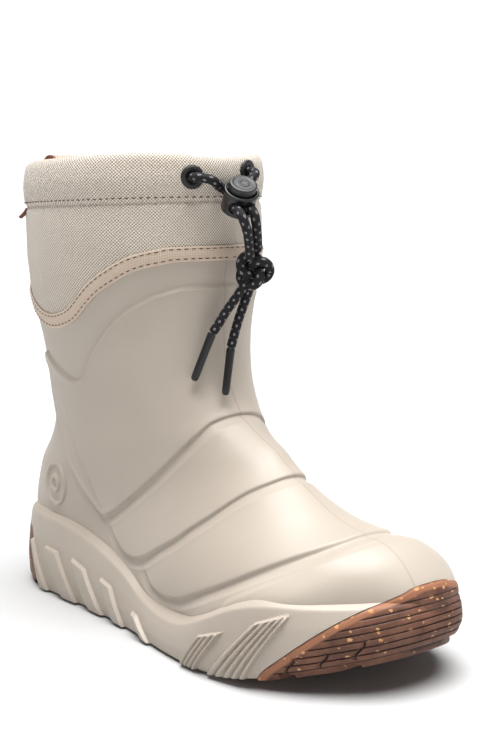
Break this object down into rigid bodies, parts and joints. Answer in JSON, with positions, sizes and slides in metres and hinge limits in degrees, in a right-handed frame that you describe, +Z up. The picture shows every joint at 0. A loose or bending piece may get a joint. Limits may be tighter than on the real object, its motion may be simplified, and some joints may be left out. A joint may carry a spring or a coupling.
{
  "type": "waterproof boot",
  "caption": "Ankle-high pull-on waterproof boot: moulded foam lower with stepped panels, woven collar closed by a drawcord and lock, rubber outsole with toe cap.",
  "frame": {"origin": "on the floor under the middle of the heel, at the outsole's heel flat", "axes": "+Z up, toe towards -Y, +X towards the inside of the foot (the wearer's left)"},
  "size_m": [0.1123, 0.2848, 0.2368],
  "materials": {
    "foam": "satin moulded foam",
    "textile": "woven twill",
    "tape": "ribbed tape",
    "gum": "speckled gum rubber",
    "lining": "brushed",
    "cord": "braided",
    "plastic": "satin",
    "leather": "matt"
  },
  "bodies": {
    "boot": {"foam_lower": "foam", "outsole": "gum", "insole": "lining", "collar": "textile", "collar_tape": "tape", "eyelet_outer": "plastic", "eyelet_inner": "plastic", "drawcord_outer": "cord", "drawcord_inner": "cord", "drawcord_knot": "cord", "tail_outer": "cord", "tail_inner": "cord", "aglet_outer": "plastic", "aglet_inner": "plastic", "lock_barrel": "plastic", "pull_loop": "leather", "seam_tag": "leather"},
    "button": {"lock_button": "plastic"}
  },
  "joints": [
    {"name": "lock_press", "type": "slide", "parent": "boot", "child": "button", "axis": [0.205, 0.55, -0.8096], "range_m": [0, 0.002], "stiffness_N_per_m": 200}
  ]
}
